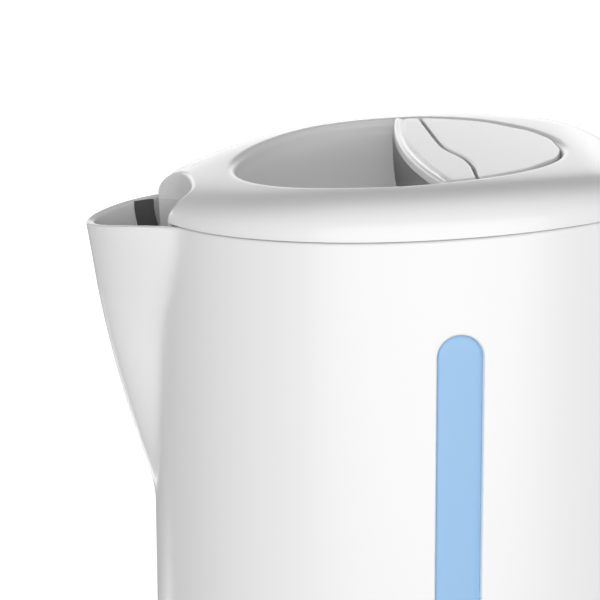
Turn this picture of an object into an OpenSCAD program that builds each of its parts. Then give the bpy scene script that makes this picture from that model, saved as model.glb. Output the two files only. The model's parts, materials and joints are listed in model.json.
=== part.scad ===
// Cordless jug kettle: oval plastic jug with a V spout, domed lid with a finger bowl and
// pull lever, water windows, loop handle, and a flat power base with a centre connector.
// X runs from the spout (-) to the handle (+), Z is up, and the origin is on the centre line
// of the power base, on the surface that its feet stand on.

/* [Jug] */
// Half length of the oval jug at its rim, spout side to handle side
body_half_x = 75; // [65:1:90]
// Half width of the oval jug at its rim
body_half_y = 63; // [54:1:75]
// Height of the rim on the centre line, above the table
rim_z = 196; // [180:1:230]
// Slope of the rim, rising towards the handle
rim_tilt = 2.9; // [0:0.1:5]
// How much the half length shrinks from rim to foot
draft = 2; // [0:0.5:4]
// Wall thickness of the jug
wall = 2.8; // [2:0.1:4]

/* [Spout] */
// Reach of the spout tip in front of the centre line
spout_tip_x = 92; // [84:1:100]
// Depth of the spout keel below the rim
spout_depth = 72; // [50:1:90]
// Half width of the spout where it meets the jug
spout_half_y = 19; // [14:1:24]

/* [Lid] */
// Height of the lid dome above the rim
dome_h = 10.5; // [8:0.5:16]
// Half length of the oval finger recess
recess_half_x = 43.7; // [36:0.1:46]
// Half width of the oval finger recess
recess_half_y = 46; // [36:0.5:48]
// Place of the recess centre along the lid
recess_x = -7.8; // [-12:0.1:0]
// Depth of the finger bowl below the dome
bowl_depth = 14; // [10:1:15]

/* [Water window] */
// Width of each water window
window_w = 12.4; // [10:0.1:18]
// Lowest point of the windows
window_low = 66; // [58:1:90]
// Highest point of the windows
window_high = 171; // [140:1:174]

/* [Handle] */
// Depth of the finger gap behind the jug wall
gap_x = 35; // [30:1:45]
// Height of the finger gap
gap_z = 100; // [85:1:105]
// Thickness of the handle, seen from the side
grip_t = 19; // [16:0.5:22]
// Width of the handle
grip_w = 28; // [22:1:34]

/* [Power base] */
// Height of the base's flat top
base_top = 20; // [17:1:22]
// Radius of the connector post
post_r = 8; // [7:0.5:9]

/* [Hidden] */

ratio = body_half_y / body_half_x;
fine = 96;
gap = 0.3;
foot_z = base_top + gap;
body_low = foot_z + 3.9;
plate_z = 49;

// Half length of the jug at a height
function half_x(z) = body_half_x - (rim_z - z) * draft / rim_z;

// Points on an arc, from angle a0 to a1, n steps
function arc(cx, cy, r, a0, a1, n = 8) =
    [for (i = [0:n]) [cx + r * cos(a0 + (a1 - a0) * i / n), cy + r * sin(a0 + (a1 - a0) * i / n)]];

// Oval cone frustum that follows the jug wall, set in by inset
module jug_oval(z0, z1, inset)
    translate([0, 0, z0]) scale([1, ratio, 1]) rotate([0, 0, 45])
        cylinder(h = z1 - z0, r1 = half_x(z0) - inset, r2 = half_x(z1) - inset, $fn = fine);

// Straight oval slab of half length a
module oval_slab(z0, z1, a, b = 0)
    translate([0, 0, z0]) scale([1, b == 0 ? ratio : b / a, 1])
        cylinder(h = z1 - z0, r = a, $fn = fine);

// The lid's own frame: origin on the rim's centre, X along the rim's slope
module rim_frame() translate([0, 0, rim_z]) rotate([0, -rim_tilt, 0]) children();
module above_rim(z) rim_frame() translate([-150, -100, z]) cube([300, 200, 90]);

// Screw with its head below, pointing up
module screw(length, r = 1.4) {
    cylinder(h = 1.6, r = r * 2, $fn = 32);
    cylinder(h = length, r = r, $fn = 32);
}

/* ---------- power base ---------- */
base_low_a = 77;
base_top_a = 75;
foot_h = 2;
hub_z = 1;
base_screw_at = [[-48, 0], [30, 34], [30, -34]];
foot_at = [[-50, 34], [-50, -34], [48, 38], [48, -38]];

// Flat cover with a round hub pad below it, on the centre line
module base_lower_cover() color("whitesmoke") difference() {
    union() {
        oval_slab(foot_h, 4.5, base_low_a - 3);
        translate([0, 0, hub_z]) cylinder(h = 3, r = 20, $fn = fine);
    }
    for (p = base_screw_at) translate([p[0], p[1], foot_h - 1]) {
        cylinder(h = 8, r = 1.55, $fn = 32);
        cylinder(h = 2.4, r = 3.1, $fn = 32);
    }
}

module base_upper_shell() color("white") {
    difference() {
        translate([0, 0, 3]) scale([1, ratio, 1]) union() {
            cylinder(h = base_top - 6, r = base_low_a, $fn = fine);
            translate([0, 0, base_top - 6])
                cylinder(h = 3, r1 = base_low_a, r2 = base_top_a, $fn = fine);
        }
        oval_slab(2, base_top - 2.5, base_low_a - 2.6);
        translate([0, 0, base_top - 5]) cylinder(h = 10, r = 18.2, $fn = fine);
        translate([base_low_a - 12, 0, 11]) rotate([0, 90, 0]) cylinder(h = 20, r = 5.6, $fn = 48);
    }
    for (p = base_screw_at) translate([p[0], p[1], 4.6]) difference() {
        cylinder(h = base_top - 6.6, r = 3.6, $fn = 48);
        translate([0, 0, -1]) cylinder(h = 10.5, r = 1.45, $fn = 32);
    }
}

module base_feet() color("dimgray")
    for (p = foot_at) translate([p[0], p[1], 0]) union() {
        cylinder(h = 0.6, r1 = 5.4, r2 = 6, $fn = 48);
        translate([0, 0, 0.6]) cylinder(h = foot_h - 0.6, r = 6, $fn = 48);
    }

module base_connector() color("dimgray") difference() {
    union() {
        translate([0, 0, 4.6]) cylinder(h = base_top - 4.6, r = 17.9, $fn = fine);
        translate([0, 0, base_top]) cylinder(h = 15, r = post_r, $fn = 64);
        translate([0, 0, base_top + 15]) cylinder(h = 1.5, r1 = post_r, r2 = post_r - 1.5, $fn = 64);
    }
    translate([0, 0, 10]) cylinder(h = 40, r = 3.2, $fn = 48);
    for (z = [base_top + 5, base_top + 10]) translate([0, 0, z]) difference() {
        cylinder(h = 2, r = post_r + 1, $fn = 64);
        translate([0, 0, -1]) cylinder(h = 4, r = post_r - 1, $fn = 64);
    }
}

module base_contacts() color("goldenrod") {
    translate([0, 0, 10]) cylinder(h = base_top + 3, r = 1.6, $fn = 32);
    translate([0, 0, 10]) cylinder(h = 2, r = 3.15, $fn = 32);
    for (z = [base_top + 5, base_top + 10]) translate([0, 0, z + 0.05]) difference() {
        cylinder(h = 1.9, r = post_r - 0.15, $fn = 64);
        translate([0, 0, -1]) cylinder(h = 4, r = post_r - 0.95, $fn = 64);
    }
}

module base_screws() color("silver")
    for (p = base_screw_at) translate([p[0], p[1], foot_h - 0.3]) screw(10);

module cord_gland() color("dimgray") translate([base_low_a - 7, 0, 11]) rotate([0, 90, 0])
    difference() {
        union() {
            cylinder(h = 14, r = 5.4, $fn = 48);
            cylinder(h = 3, r = 6.2, $fn = 48);
            translate([0, 0, 7.6]) cylinder(h = 2, r = 6.6, $fn = 48);
        }
        translate([0, 0, -1]) cylinder(h = 16, r = 3.6, $fn = 48);
    }

/* ---------- connector that lifts off with the jug ---------- */
socket_r = 19;

module kettle_connector() color("dimgray") difference() {
    union() {
        translate([0, 0, base_top + 1]) cylinder(h = 19, r = socket_r, $fn = fine);
        translate([0, 0, foot_z + 4.2]) cylinder(h = 2, r = socket_r + 2, $fn = fine);
    }
    translate([0, 0, base_top]) cylinder(h = 17.2, r = post_r + 0.5, $fn = 64);
    translate([0, 0, base_top]) cylinder(h = 3, r1 = 11, r2 = post_r + 0.5, $fn = 64);
    for (z = [base_top + 4.5, base_top + 9.5]) translate([0, 0, z]) difference() {
        cylinder(h = 3, r = post_r + 2.6, $fn = 64);
        translate([0, 0, -1]) cylinder(h = 5, r = post_r + 0.2, $fn = 64);
    }
}

module connector_springs() color("goldenrod")
    for (z = [base_top + 4.7, base_top + 9.7]) translate([0, 0, z]) difference() {
        cylinder(h = 2.6, r = post_r + 2.4, $fn = 64);
        translate([0, 0, -1]) cylinder(h = 5, r = post_r + 1.2, $fn = 64);
    }

/* ---------- jug ---------- */
// V-shaped horn: wide rim at the jug, rounded tip, keel that runs down into the wall
module spout_form(inset, over) rim_frame() hull() {
    translate([-(spout_tip_x - 4.5), 0, -1.4 + over]) cylinder(h = 0.1, r = 4.5 - inset, $fn = 32);
    for (s = [-1, 1]) translate([-68 + inset, s * (spout_half_y - 2 - inset), over])
        cylinder(h = 0.1, r = 2, $fn = 16);
    translate([-(spout_tip_x - 5.2), 0, -14]) cylinder(h = 0.1, r = 4 - inset, $fn = 32);
    translate([-80, 0, -42]) cylinder(h = 0.1, r = 3.4 - inset, $fn = 32);
    translate([-70 + 2 * inset, 0, -spout_depth + 2 * inset]) cylinder(h = 0.1, r = 1.6, $fn = 16);
}

// Upright stadium, drawn in X and Z and pushed along Y
module window_slot(y0, depth, grow)
    translate([0, y0, 0]) rotate([90, 0, 0]) mirror([0, 0, 1]) linear_extrude(depth)
        polygon(concat(arc(0, window_high - window_w / 2, window_w / 2 + grow, 0, 180, 12),
                       arc(0, window_low + window_w / 2, window_w / 2 + grow, 180, 360, 12)));

boss_at = [[-63, 0], [36, 44], [36, -44]];
pivot_x = 60;
pivot_z = 38;
steam_x = 61;
latch_x = -2;
keeper_y = 61.8;

module body_shell() color("white") {
    difference() {
        union() {
            jug_oval(body_low, rim_z + 8, 0);
            spout_form(0, 0);
            // lugs that the hollow handle is pushed over; the lower one takes the handle's screw
            for (l = lug_at) translate([lug_end - 20, -10.6, l[0]]) cube([20, 21.2, l[1]]);
        }
        jug_oval(body_low - 1, rim_z + 9, wall);
        translate([handle_screw_x, 0, lug_at[0][0] - 1]) cylinder(h = 12, r = 1.45, $fn = 32);
        spout_form(2.2, 0.5);
        above_rim(0);
        window_slot(-80, 40, 0.1);
        window_slot(40, 40, 0.1);
        // slot for the switch lever
        translate([66, -11.5, pivot_z - 5.6]) cube([20, 23, 8.2]);
        // keeper slots for the lid's two latch bolts, cut into the inner face and open at the rim
        rim_frame() for (s = [-1, 1])
            translate([latch_x - 5.6, s > 0 ? keeper_y - 4 : -keeper_y, -15.5]) cube([11.2, 4, 20]);
    }
    // ledge that the heating plate is clamped to, and screw bosses below it
    difference() {
        jug_oval(plate_z - 3, plate_z - 0.1, wall - 0.2);
        jug_oval(plate_z - 4, plate_z + 1, wall + 4.5);
    }
    for (p = boss_at) translate([p[0], p[1], body_low + 0.2]) difference() {
        cylinder(h = plate_z - 1 - body_low, r = 5.4, $fn = 48);
        translate([0, 0, -1]) cylinder(h = 14, r = 1.45, $fn = 32);
    }
}

// Pane that fills the slot 1.2 mm below the jug's face, with a flange behind the wall
module water_window(side) color("cornflowerblue", 0.9) {
    intersection() {
        window_slot(side < 0 ? -80 : 40, 40, -0.1);
        difference() {
            jug_oval(window_low - 4, window_high + 4, 1.2);
            jug_oval(window_low - 5, window_high + 5, wall + 0.4);
        }
    }
    intersection() {
        window_slot(side < 0 ? -80 : 40, 40, 2.6);
        difference() {
            jug_oval(window_low - 4, window_high + 4, wall + 0.15);
            jug_oval(window_low - 5, window_high + 5, wall + 2);
        }
    }
}
module water_window_near() water_window(-1);
module water_window_far() water_window(1);

module heating_plate() color("silver") difference() {
    jug_oval(plate_z, plate_z + 1, wall + 0.5);
    translate([steam_x, 0, plate_z - 1]) cylinder(h = 4, r = 3.6, $fn = 48);
}

module plate_seal() color("dimgray") difference() {
    jug_oval(plate_z + 1.05, plate_z + 3, wall + 0.05);
    jug_oval(plate_z, plate_z + 4, wall + 4);
}

module heating_element() color("gray") {
    translate([0, 0, plate_z - 3.4]) rotate([0, 0, 35]) rotate_extrude(angle = 290, $fn = 96)
        translate([40, 0]) circle(r = 3.2, $fn = 32);
    for (a = [35, 325]) rotate([0, 0, a]) translate([40, 0, plate_z - 16]) {
        cylinder(h = 12.6, r = 2, $fn = 32);
    }
}

// Pipe that leads steam from the top of the jug down to the control's disc
module steam_tube() color("whitesmoke") translate([steam_x, 0, 0]) difference() {
    union() {
        translate([0, 0, plate_z - 6]) cylinder(h = 182 - plate_z + 6, r = 3.5, $fn = 48);
        translate([0, 0, plate_z + 1.05]) cylinder(h = 1.6, r = 4.6, $fn = 48);
    }
    translate([0, 0, plate_z - 7]) cylinder(h = 140, r = 2.4, $fn = 48);
    translate([-8, -1.5, 174]) cube([8, 3, 9]);
}

module bottom_cover() color("whitesmoke") difference() {
    union() {
        translate([0, 0, foot_z]) scale([1, ratio, 1])
            cylinder(h = 3.7, r1 = half_x(foot_z) - 2, r2 = half_x(foot_z), $fn = fine);
        for (p = boss_at) translate([p[0], p[1], foot_z + 1]) cylinder(h = 2.9, r = 4, $fn = 48);
    }
    translate([0, 0, foot_z - 1]) cylinder(h = 8, r = socket_r + 0.3, $fn = fine);
    for (p = boss_at) translate([p[0], p[1], foot_z - 1]) {
        cylinder(h = 8, r = 1.55, $fn = 32);
        cylinder(h = 2.9, r = 3.1, $fn = 32);
    }
}

module bottom_screws() color("silver")
    for (p = boss_at) translate([p[0], p[1], foot_z + 0.25]) screw(14);

/* ---------- control and switch ---------- */
module thermostat_control() color("dimgray") difference() {
    union() {
        translate([26, -16, 27]) cube([20, 32, 14]);
        for (s = [-1, 1]) translate([44, s * 14 - 1.5, 32]) cube([20, 3, 10]);
    }
    translate([pivot_x, -20, pivot_z]) rotate([-90, 0, 0]) cylinder(h = 40, r = 1.55, $fn = 32);
}

module bimetal_disc() color("goldenrod") translate([47.4, 0, 34]) rotate([0, 90, 0])
    difference() {
        cylinder(h = 0.6, r = 6, $fn = 48);
        translate([0, 0, -1]) cylinder(h = 3, r = 1, $fn = 24);
    }

module switch_pin() color("silver")
    translate([pivot_x, -16, pivot_z]) rotate([-90, 0, 0]) cylinder(h = 32, r = 1.5, $fn = 32);

// Rocker with a paddle that bends up to a round lip
module switch_lever() color("whitesmoke") translate([pivot_x, 11, pivot_z]) rotate([90, 0, 0])
    linear_extrude(22) difference() {
        union() {
            circle(r = 3.6, $fn = 48);
            polygon(concat([[0, -1.6], [20, -1.6]], arc(33, 1.9, 2.1, -82, 98, 10),
                           [[20, 1.7], [0, 1.6]]));
        }
        circle(r = 1.56, $fn = 32);
    }

// Neon lamp seen through the lever's slot, in its holder above the control
module indicator_lamp() color("orange") translate([50, 7, 44.5]) rotate([0, 90, 0]) {
    cylinder(h = 14, r = 2, $fn = 32);
    translate([0, 0, 14]) sphere(r = 2, $fn = 32);
}

/* ---------- handle ---------- */
corner_r = 10;
gap_low = 86;
handle_screw_x = 81;
handle_boss_x = 96;
// Loop round the finger gap, grown outwards by d
function loop(d) =
    let (x0 = body_half_x + corner_r, x1 = body_half_x + gap_x - corner_r,
         z0 = gap_low + corner_r, z1 = gap_low + gap_z - corner_r, r = corner_r + d)
    concat(arc(x1, z1, r, 90, 0, 10), arc(x1, z0, r, 0, -90, 10),
           [[x0 - 30, z0 - r], [x0 - 30, z1 + r]]);

module loop_band(d0, d1, w) rotate([90, 0, 0]) translate([0, 0, -w / 2])
    linear_extrude(w) difference() {
        polygon(loop(d1));
        polygon(loop(d0));
    }

split = grip_t / 2;
lug_end = 85;
// Each lug's lowest point and height
lug_at = [[gap_low - split - 6.2, 12.4], [gap_low + gap_z + 3.2, 9.2]];

module outside_jug() difference() {
    children();
    jug_oval(20, rim_z + 20, -0.3);
}

module handle_inner() color("white") {
    outside_jug() difference() {
        loop_band(0, split - 0.1, grip_w);
        loop_band(2.6, split + 1, grip_w - 5.2);
    }
    translate([handle_boss_x, 0, gap_low - grip_t + 4]) difference() {
        cylinder(h = grip_t - 5, r = 3.6, $fn = 48);
        translate([0, 0, -1]) cylinder(h = 9, r = 1.45, $fn = 32);
    }
}

module handle_outer() color("white") outside_jug() difference() {
    loop_band(split + 0.1, grip_t, grip_w);
    loop_band(split - 1, grip_t - 2.6, grip_w - 5.2);
    for (x = [handle_screw_x, handle_boss_x]) translate([x, 0, gap_low - grip_t - 1]) {
        cylinder(h = 8, r = 1.55, $fn = 32);
        cylinder(h = 2.2, r = 3.1, $fn = 32);
    }
}

module handle_screws() color("silver")
    for (x = [handle_screw_x, handle_boss_x])
        translate([x, 0, gap_low - grip_t - 0.5]) screw(11);

/* ---------- hinge ---------- */
hinge_x = 60;
hinge_z = 3;
knuckle_r = 3.4;
pin_r = 1.6;

module along_y(x, z, y0, y1, r)
    translate([x, y0, z]) rotate([-90, 0, 0]) cylinder(h = y1 - y0, r = r, $fn = 48);

// Fixed cap over the rear of the rim, with the two outer hinge knuckles
module rear_bridge() color("white") rim_frame() difference() {
    union() {
        intersection() {
            oval_slab(gap, 5, body_half_x - 0.2);
            translate([57, -60, -1]) cube([30, 120, 20]);
        }
        intersection() {
            oval_slab(-10, gap + 0.5, body_half_x - wall - 0.5);
            translate([66.5, -60, -20]) cube([30, 120, 40]);
        }
        for (s = [-1, 1]) along_y(hinge_x, hinge_z, s > 0 ? 18.4 : -26, s > 0 ? 26 : -18.4, knuckle_r);
    }
    translate([56, -18.2, -15]) cube([8.2, 36.4, 40]);
    along_y(hinge_x, hinge_z, -40, 40, pin_r + 0.02);
}

module hinge_pin() color("silver") rim_frame() along_y(hinge_x, hinge_z, -25.5, 25.5, pin_r);

/* ---------- spout filter ---------- */
filter_top = -19;
filter_h = 44;

module filter_frame() color("whitesmoke") rim_frame() translate([-66, 0, filter_top - filter_h])
    difference() {
        translate([0, -19, 0]) cube([2.4, 38, filter_h]);
        for (s = [-1, 1]) translate([-1, s * 9 - 7.4, 4]) cube([5, 14.8, filter_h - 8]);
        translate([0.8, -17, 2]) cube([0.8, 34, filter_h - 4]);
    }

module filter_mesh() color("lightgray") rim_frame() translate([-66 + 0.95, 0, filter_top - filter_h]) {
    for (y = [-15.6:2.6:15.7]) translate([0, y - 0.2, 2.2]) cube([0.25, 0.4, filter_h - 4.4]);
    for (z = [4:4:filter_h - 3]) translate([0.25, -16.8, z]) cube([0.25, 33.6, 0.4]);
}

/* ---------- lid, in the rim's frame ---------- */
tub_a = 70.4;
tub_floor = -17;
lid_rear = 56;
scoop_r = 36;
scoop_x = -102;
bowl_wall = 2;
pocket_x0 = -9;
pocket_x1 = 30;
pocket_floor = -7;
lever_front = -10;
lever_pivot_x = 4;
lever_pivot_z = dome_h - 3.6;
lid_boss_at = [[-58, 0], [46, 24], [46, -24]];
arm_y = 26;
bolt_z = -14;
bolt_h = 3.6;

// Half section of the dome: flat top, rounded shoulder, upright foot; d sets it in
module dome(d) scale([1, ratio, 1]) rotate_extrude($fn = fine)
    polygon(concat([[0, gap]], [[body_half_x - d, gap]],
        [for (t = [10:10:90])
            [body_half_x * pow(cos(t), 0.28) * (t == 90 ? 0 : 1) - (t == 90 ? 0 : d),
             (dome_h - d) * pow(sin(t), 0.9)]]));

// The rear half of the dome falls away towards the handle
module rear_fall(d) union() {
    translate([-120, -100, -30]) cube([120, 200, 90]);
    translate([0, 0, dome_h - 188 - d]) rotate([90, 0, 0]) translate([0, 0, -100])
        cylinder(h = 200, r = 188, $fn = 180);
}

module recess_oval(z0, z1, d) translate([recess_x, 0, 0])
    oval_slab(z0, z1, recess_half_x - d, recess_half_y - d);

module scoop(d) translate([scoop_x, 0, -40]) cylinder(h = 90, r = scoop_r + d, $fn = fine);

module bowl(d) translate([recess_x, 0, dome_h])
    scale([recess_half_x + d, recess_half_y + d, bowl_depth + d]) sphere(r = 1, $fn = fine);

module lid_cover() color("white") rim_frame() {
    difference() {
        union() {
            difference() {
                intersection() {
                    dome(0);
                    rear_fall(0);
                }
                intersection() {
                    translate([0, 0, -0.01]) dome(2.2);
                    rear_fall(2.2);
                }
            }
            // finger bowl and the pocket below the lever and panel
            intersection() {
                bowl(bowl_wall);
                translate([-100, -100, -30]) cube([200, 200, dome_h + 29]);
            }
            intersection() {
                recess_oval(pocket_floor - bowl_wall, dome_h - 1, -1);
                translate([pocket_x0 - 2, -38, -30]) cube([pocket_x1 - pocket_x0 + 4, 76, 60]);
            }
            // front wall inside the spout mouth
            intersection() {
                oval_slab(-12, dome_h - 2, body_half_x - wall - 1.8);
                difference() {
                    scoop(2);
                    scoop(0);
                }
            }
            for (p = lid_boss_at) translate([p[0], p[1], -14])
                cylinder(h = p[0] < 0 ? 23 : 18, r = 3.4, $fn = 48);
        }
        intersection() {
            bowl(0);
            translate([-100, -100, -30]) cube([200, 200, 80]);
        }
        intersection() {
            recess_oval(pocket_floor, 40, 1);
            translate([pocket_x0, -36, pocket_floor]) cube([pocket_x1 - pocket_x0, 72, 60]);
        }
        intersection() {
            recess_oval(dome_h - 6, 40, 0.2);
            translate([pocket_x0, -60, dome_h - 6]) cube([60, 120, 60]);
        }
        scoop(0);
        translate([lid_rear, -100, -60]) cube([60, 200, 120]);
        for (p = lid_boss_at) translate([p[0], p[1], -15]) cylinder(h = 11, r = 1.45, $fn = 32);
        // slots that the lever's two arms reach through
        for (s = [-1, 1]) translate([-3, s * arm_y - 1.6, -12]) cube([10, 3.2, 12]);
        along_y(lever_pivot_x, lever_pivot_z, -38, 38, 1.52);
    }
    // arms and inner knuckles of the hinge
    difference() {
        for (s = [-1, 1]) {
            along_y(hinge_x, hinge_z, s > 0 ? 9 : -18, s > 0 ? 18 : -9, knuckle_r);
            translate([lid_rear - 3, s > 0 ? 9 : -18, 0.6]) cube([5, 9, 3.4]);
        }
        along_y(hinge_x, hinge_z, -40, 40, pin_r + 0.06);
    }
}

// Tub that closes the lid from below; its wall drops inside the jug's rim
module lid_inner_tub() color("whitesmoke") rim_frame() {
    difference() {
        oval_slab(tub_floor, -0.2, tub_a);
        oval_slab(tub_floor + 2, 5, tub_a - 2);
        scoop(2.3);
        translate([lid_rear - 2, -100, -60]) cube([60, 200, 120]);
        for (s = [-1, 1]) translate([latch_x - 4.3, s > 0 ? 50 : -70, bolt_z - 0.3])
            cube([8.6, 20, bolt_h + 0.6]);
        for (p = lid_boss_at) translate([p[0], p[1], tub_floor - 1]) {
            cylinder(h = 8, r = 1.55, $fn = 32);
            cylinder(h = 2.2, r = 3.1, $fn = 32);
        }
    }
    // rails that guide each bolt, and the post its spring pushes against
    for (s = [-1, 1]) {
        for (x = [latch_x - 5.8, latch_x + 4.3]) translate([x, s > 0 ? 32 : -52, tub_floor + 1.9])
            cube([1.5, 20, 4.6]);
        translate([latch_x - 3, s * 10.2 - 1, tub_floor + 1.9]) cube([6, 2, 4.6]);
    }
}

module lid_seal() color("lightgray") rim_frame() difference() {
    oval_slab(tub_floor + 0.2, tub_floor + 2, tub_a + 0.7);
    oval_slab(tub_floor - 1, tub_floor + 4, tub_a + 0.03);
    scoop(2.3);
    translate([lid_rear - 2, -100, -60]) cube([60, 200, 120]);
}

// Fixed oval panel that closes the rear of the recess, level with the dome
module lid_panel() color("white") rim_frame() intersection() {
    recess_oval(0, 40, 0.3);
    translate([lever_pivot_x + 2.6, -60, 0]) cube([60, 120, 40]);
    difference() {
        intersection() {
            dome(0.1);
            rear_fall(0.1);
        }
        translate([0, 0, -2.4]) intersection() {
            dome(0.1);
            rear_fall(0.1);
        }
    }
}

module lid_screws() color("silver") rim_frame()
    for (p = lid_boss_at) translate([p[0], p[1], tub_floor - 0.5]) screw(11);

module lever_pin() color("silver") rim_frame() along_y(lever_pivot_x, lever_pivot_z, -37, 37, 1.45);

// Three turns of wire round the pin, with a gap between them
module lever_spring() color("silver") rim_frame()
    for (y = [-3:2:3]) translate([lever_pivot_x, y, lever_pivot_z]) rotate([90, 0, 0])
        rotate_extrude($fn = 48) translate([2.05, 0]) circle(r = 0.35, $fn = 16);

// Bowed pull lever: its front edge bulges towards the spout
bow_r = 150;
module release_lever() color("white") rim_frame() difference() {
    union() {
        intersection() {
            recess_oval(dome_h - 2.6, dome_h - 0.15, 0.4);
            translate([lever_front + bow_r, 0, 0]) cylinder(h = 60, r = bow_r, $fn = 360);
            translate([-60, -60, 0]) cube([60 + lever_pivot_x, 120, 40]);
        }
        for (s = [-1, 1])
            along_y(lever_pivot_x, lever_pivot_z, s > 0 ? 5 : -35, s > 0 ? 35 : -5, 2.3);
        for (s = [-1, 1]) translate([lever_pivot_x - 1.6, s * arm_y - 1, -13])
            cube([3.2, 2, 13 + lever_pivot_z]);
    }
    along_y(lever_pivot_x, lever_pivot_z, -60, 60, 1.5);
    translate([0, -4.8, dome_h - 8]) cube([lever_pivot_x + 6, 9.6, 7]);
}

// Sliding bolt: its nose reaches into the jug's keeper slot, and the lever's arm sweeps
// along the slanted slot in its tail and draws it inwards
module latch_bolt(side) rim_frame() mirror([0, side < 0 ? 1 : 0, 0]) translate([latch_x, 0, 0])
    difference() {
        union() {
            translate([-4, 19.5, bolt_z]) cube([8, 38.5, bolt_h]);
            translate([-4, 58, bolt_z]) rotate([90, 0, 90]) linear_extrude(8)
                polygon([[0, 0], [3.3, 1.8], [3.3, bolt_h], [0, bolt_h]]);
        }
        translate([0, arm_y, bolt_z - 1]) linear_extrude(6)
            polygon([[8, -1.4], [4, -1.4], [-0.4, 1.6], [-0.4, 4.4], [3.8, 4.4], [8, 1.6]]);
    }
module latch_bolt_near() color("whitesmoke") latch_bolt(-1);
module latch_bolt_far() color("whitesmoke") latch_bolt(1);

// Coils that push each bolt outwards
module bolt_springs() color("silver") rim_frame()
    for (s = [-1, 1]) for (i = [0:5]) translate([latch_x, s * (12 + i * 0.78), bolt_z + bolt_h / 2])
        rotate([90, 0, 0]) rotate_extrude($fn = 48) translate([1.6, 0]) circle(r = 0.25, $fn = 16);

base_lower_cover();
base_upper_shell();
base_feet();
base_connector();
base_contacts();
base_screws();
cord_gland();
kettle_connector();
connector_springs();
body_shell();
water_window_near();
water_window_far();
heating_plate();
plate_seal();
heating_element();
bottom_cover();
bottom_screws();
thermostat_control();
bimetal_disc();
switch_pin();
switch_lever();
indicator_lamp();
steam_tube();
handle_inner();
handle_outer();
handle_screws();
rear_bridge();
hinge_pin();
filter_frame();
filter_mesh();
lid_cover();
lid_inner_tub();
lid_seal();
lid_panel();
lid_screws();
lever_pin();
lever_spring();
release_lever();
latch_bolt_near();
latch_bolt_far();
bolt_springs();
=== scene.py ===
"""Looks for a cordless jug kettle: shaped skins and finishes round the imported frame."""

import json
import math

import bmesh
import bpy
import numpy as np
from bpy.props import FloatProperty, FloatVectorProperty, PointerProperty
from mathutils import Matrix, Vector


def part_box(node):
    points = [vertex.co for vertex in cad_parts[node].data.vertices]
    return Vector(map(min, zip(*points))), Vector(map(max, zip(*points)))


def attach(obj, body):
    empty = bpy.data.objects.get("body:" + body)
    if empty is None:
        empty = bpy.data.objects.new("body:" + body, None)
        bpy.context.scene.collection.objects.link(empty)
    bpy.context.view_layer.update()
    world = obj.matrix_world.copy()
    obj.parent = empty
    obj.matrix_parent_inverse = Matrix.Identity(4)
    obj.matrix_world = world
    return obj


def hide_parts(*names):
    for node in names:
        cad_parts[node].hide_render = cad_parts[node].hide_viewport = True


bl_info = {
    "name": "Jug kettle",
    "version": (1, 0, 0),
    "blender": (4, 5, 0),
    "location": "3D View > Sidebar > Kettle",
    "description": "Builds a white cordless jug kettle round its packed frame",
    "category": "Add Mesh",
}

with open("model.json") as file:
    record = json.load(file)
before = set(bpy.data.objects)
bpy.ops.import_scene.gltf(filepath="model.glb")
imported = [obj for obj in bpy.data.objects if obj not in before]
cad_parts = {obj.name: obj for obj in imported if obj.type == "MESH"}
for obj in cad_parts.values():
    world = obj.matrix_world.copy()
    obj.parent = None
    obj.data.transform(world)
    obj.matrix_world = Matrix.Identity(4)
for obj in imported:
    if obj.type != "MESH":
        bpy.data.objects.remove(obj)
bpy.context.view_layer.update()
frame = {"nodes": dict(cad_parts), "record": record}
MM = 0.001
TAU = 2 * math.pi


def length(name, text, default):
    """A size in metres that the sidebar shows."""
    return FloatProperty(name=name, description=text, default=default, unit="LENGTH", precision=4)


def colour(name, text, default):
    """A colour that the sidebar shows."""
    return FloatVectorProperty(name=name, description=text, default=default,
                               subtype="COLOR", size=3, min=0.0, max=1.0)


class KettleSizes(bpy.types.PropertyGroup):
    """Sizes of the shaped pieces."""

    half_length: length("Jug half length", "Half length of the oval jug at its rim", 0.075)
    half_width: length("Jug half width", "Half width of the oval jug at its rim",
                       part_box("body_shell")[1].y)
    rim_height: length("Rim height", "Height of the rim on the centre line", 0.196)
    foot_height: length("Jug foot", "Lowest point of the jug's wall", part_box("body_shell")[0].z)
    draft: length("Draft", "How much the half length shrinks from rim to table", 0.002)
    wall: length("Wall", "Wall thickness of the jug", 0.0028)
    rim_tilt: FloatProperty(name="Rim tilt", description="Slope of the rim, rising to the handle",
                            default=math.radians(2.9), subtype="ANGLE")
    spout_reach: length("Spout reach", "How far the spout's tip stands off the wall", 0.0166)
    spout_depth: length("Spout depth", "How far below its tip the keel meets the wall", 0.074)
    dome: length("Dome height", "Height of the lid's dome above the rim", 0.0118)
    bowl_depth: length("Bowl depth", "Depth of the finger bowl below its edge", 0.0125)
    lip: length("Bowl lip", "Radius of the edge round the finger bowl", 0.0024)
    window_width: length("Window width", "Width of each water window", 0.0124)
    window_low: length("Window foot", "Lowest point of the water windows", 0.066)
    window_high: length("Window top", "Highest point of the water windows", 0.171)


class KettleColours(bpy.types.PropertyGroup):
    """Colours of the finishes."""

    white: colour("Gloss white", "Outer mouldings", (0.84, 0.84, 0.84))
    inner: colour("Inner white", "Satin inner mouldings", (0.74, 0.74, 0.73))
    window: colour("Window blue", "Translucent water windows", (0.1, 0.39, 0.78))
    dark: colour("Dark plastic", "Connector, control and gland", (0.035, 0.035, 0.04))
    seal: colour("Seal grey", "Silicone seals", (0.6, 0.6, 0.58))
    floor: colour("Floor", "Table that the kettle stands on", (0.9, 0.9, 0.9))


def sizes():
    """The sizes in millimetres, and the tilt in radians, as one plain namespace."""
    held = bpy.context.scene.kettle_sizes
    got = {k: getattr(held, k) for k in KettleSizes.__annotations__}
    s = type("Sizes", (), {k: v if k == "rim_tilt" else v / MM for k, v in got.items()})
    s.ratio = s.half_width / s.half_length
    return s


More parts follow.
